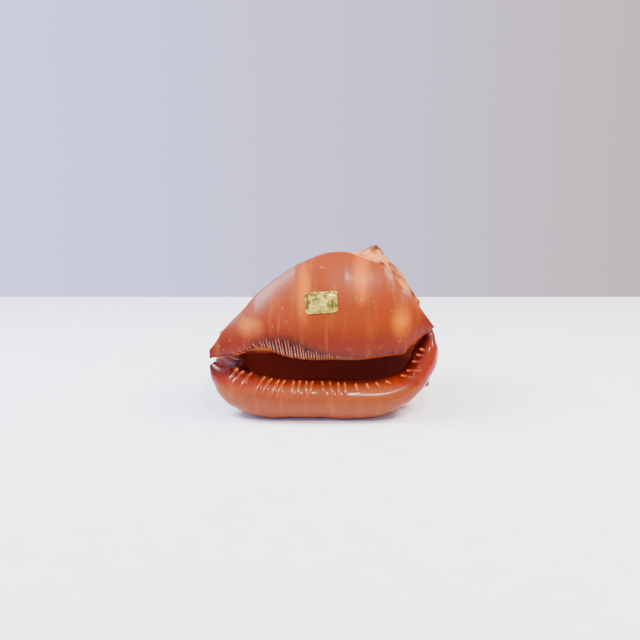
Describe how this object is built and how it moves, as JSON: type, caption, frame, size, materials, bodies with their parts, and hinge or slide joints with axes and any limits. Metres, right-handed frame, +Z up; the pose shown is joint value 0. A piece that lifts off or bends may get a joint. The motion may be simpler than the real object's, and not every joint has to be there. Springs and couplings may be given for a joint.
{
  "type": "carved cameo shell",
  "caption": "Large helmet shell resting on its rolled outer lip, with a smooth flared shield over a toothed slit, a coiled spire, and a panel cut in low relief on its back.",
  "frame": {"origin": "below the middle of the shell's outer size, on the surface it rests on", "axes": "+X along the length towards the spire, -Y out of the aperture side, +Z up"},
  "size_m": [0.1528, 0.0974, 0.1092],
  "materials": {
    "shell": "glossy natural shell, salmon orange with cream clouds; the back brown and cream, the cut panel white over orange brown",
    "foil": "blank wrinkled gold foil paper"
  },
  "bodies": {
    "root": {"shell": "shell", "foil_label": "foil"}
  },
  "joints": []
}
